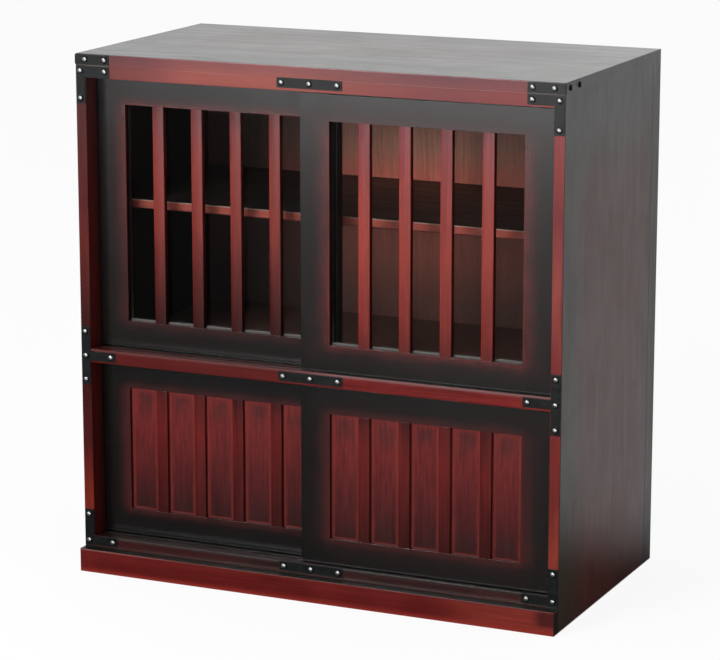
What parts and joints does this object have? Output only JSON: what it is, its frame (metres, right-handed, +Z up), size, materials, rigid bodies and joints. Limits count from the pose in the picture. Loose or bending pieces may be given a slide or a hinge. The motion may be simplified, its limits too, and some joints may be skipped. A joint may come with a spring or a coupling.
{
  "type": "display cabinet",
  "caption": "Low wooden display cabinet with sliding lattice doors, glazed above and panelled below, a loose shelf, and black iron corner straps with domed nails.",
  "frame": {"origin": "on the floor, under the middle of the overall box", "axes": "+X to the right as the doors are faced, +Y to the back, +Z up"},
  "size_m": [0.7576, 0.408, 0.77],
  "materials": {
    "black_lacquer": "black stained lacquer, semi-gloss",
    "red_lacquer": "red stained lacquer, semi-gloss",
    "door_wood": "red stained lacquer shaded to black at the edges",
    "inner_wood": "brown stained wood, satin",
    "black_iron": "black painted iron, satin",
    "screw_steel": "plain steel",
    "door_glass": "clear flat glass"
  },
  "bodies": {
    "case": {"back_panel": "inner_wood", "back_screws": "screw_steel", "base_rail_front": "inner_wood", "base_rail_rear": "inner_wood", "bottom_board": "inner_wood", "bottom_rail": "red_lacquer", "case_dowels": "inner_wood", "centre_plate_bottom": "black_iron", "centre_plate_mid": "black_iron", "centre_plate_top": "black_iron", "corner_plate_bottom_left": "black_iron", "corner_plate_bottom_right": "black_iron", "corner_plate_top_left": "black_iron", "corner_plate_top_right": "black_iron", "corner_strap_left": "black_iron", "corner_strap_right": "black_iron", "front_post_left": "red_lacquer", "front_post_right": "red_lacquer", "mid_board": "inner_wood", "mid_rail": "red_lacquer", "nails": "black_iron", "plinth_front": "red_lacquer", "rear_post_left": "black_lacquer", "rear_post_right": "black_lacquer", "shelf": "inner_wood", "shelf_pins": "screw_steel", "side_panel_left": "black_lacquer", "side_panel_right": "black_lacquer", "tee_plate_left": "black_iron", "tee_plate_right": "black_iron", "top_board": "black_lacquer", "top_rail": "red_lacquer"},
    "upper_left_door": {"upper_left_bars": "door_wood", "upper_left_beads": "door_wood", "upper_left_glass": "door_glass", "upper_left_rail_bottom": "door_wood", "upper_left_rail_top": "door_wood", "upper_left_stile_left": "door_wood", "upper_left_stile_right": "door_wood"},
    "upper_right_door": {"upper_right_bars": "door_wood", "upper_right_beads": "door_wood", "upper_right_glass": "door_glass", "upper_right_rail_bottom": "door_wood", "upper_right_rail_top": "door_wood", "upper_right_stile_left": "door_wood", "upper_right_stile_right": "door_wood"},
    "lower_left_door": {"lower_left_bars": "door_wood", "lower_left_panel": "door_wood", "lower_left_rail_bottom": "door_wood", "lower_left_rail_top": "door_wood", "lower_left_stile_left": "door_wood", "lower_left_stile_right": "door_wood"},
    "lower_right_door": {"lower_right_bars": "door_wood", "lower_right_panel": "door_wood", "lower_right_rail_bottom": "door_wood", "lower_right_rail_top": "door_wood", "lower_right_stile_left": "door_wood", "lower_right_stile_right": "door_wood"}
  },
  "joints": [
    {"name": "upper_left_door_slide", "type": "slide", "parent": "case", "child": "upper_left_door", "axis": [1, 0, 0], "range_m": [0, 0.335]},
    {"name": "upper_right_door_slide", "type": "slide", "parent": "case", "child": "upper_right_door", "axis": [1, 0, 0], "range_m": [-0.335, 0]},
    {"name": "lower_left_door_slide", "type": "slide", "parent": "case", "child": "lower_left_door", "axis": [1, 0, 0], "range_m": [0, 0.335]},
    {"name": "lower_right_door_slide", "type": "slide", "parent": "case", "child": "lower_right_door", "axis": [1, 0, 0], "range_m": [-0.335, 0]}
  ]
}
